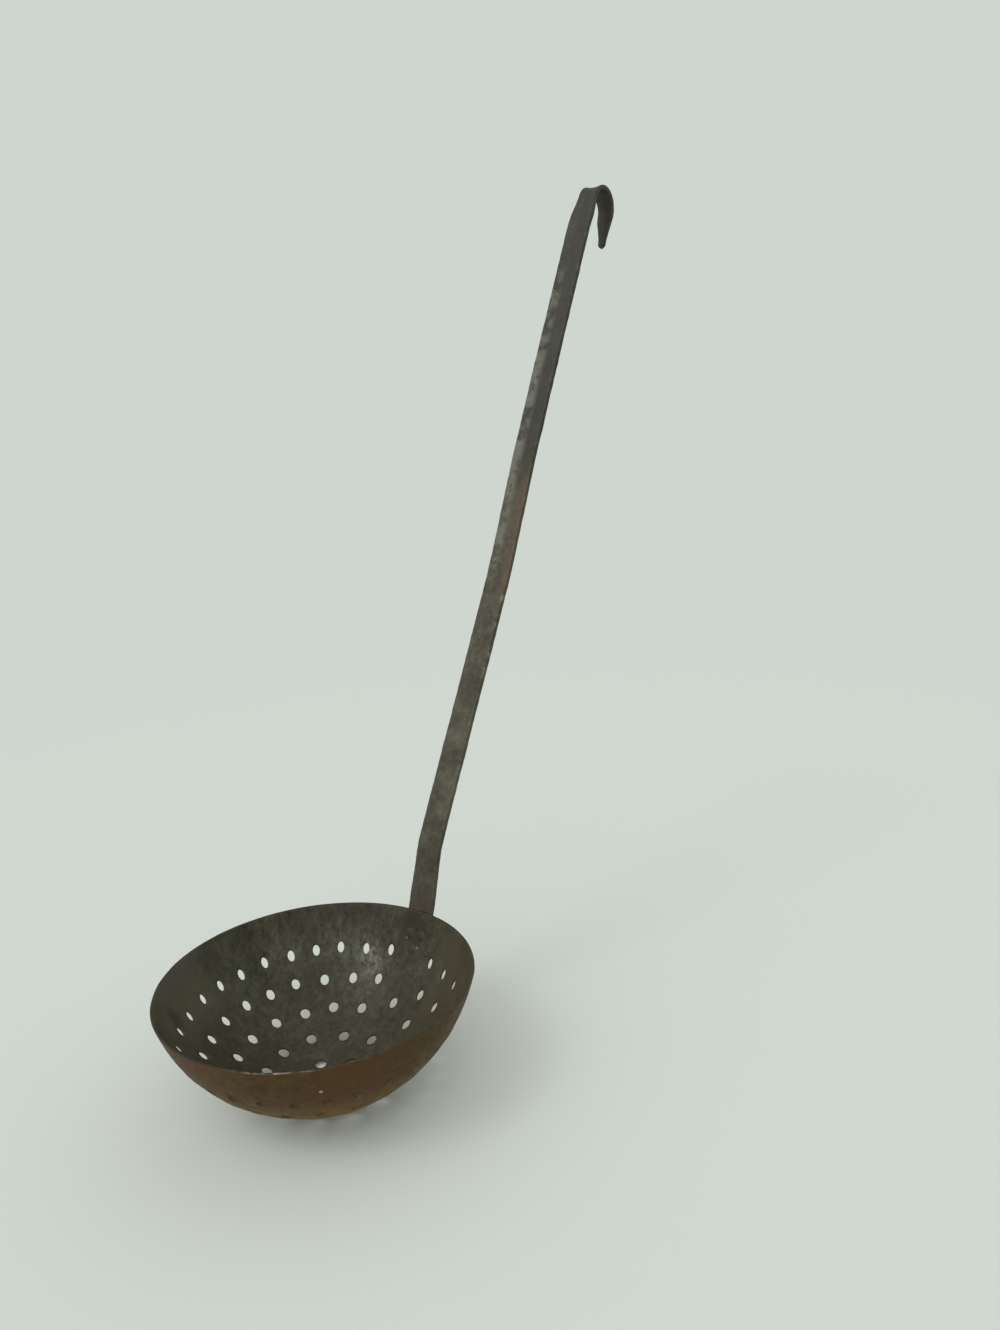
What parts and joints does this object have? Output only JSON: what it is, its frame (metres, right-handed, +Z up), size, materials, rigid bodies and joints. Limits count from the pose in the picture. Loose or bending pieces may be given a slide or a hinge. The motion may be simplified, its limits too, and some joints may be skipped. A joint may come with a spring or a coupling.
{
  "type": "sieve ladle",
  "caption": "Round pierced iron bowl riveted to a long flat handle with a hooked end, for lifting food out of hot liquid and hanging on a rail.",
  "frame": {"origin": "lowest point of the bowl's underside, on the bowl's axis", "axes": "+Z up along the bowl's axis through its open mouth, +Y towards the side that the handle leaves from and leans to, +X across the handle's width"},
  "size_m": [0.16, 0.3918, 0.4591],
  "materials": {
    "bowl_iron": "dark grey-olive worn sheet iron inside, brown rust bloom outside",
    "handle_iron": "dark grey-brown forged iron, hammered, with pale scuffs on the edges",
    "rivet_iron": "worn iron, rubbed brighter on top of the heads"
  },
  "bodies": {
    "root": {"bowl": "bowl_iron", "handle": "handle_iron", "rivet_left": "rivet_iron", "rivet_right": "rivet_iron", "rivet_lower": "rivet_iron"}
  },
  "joints": []
}
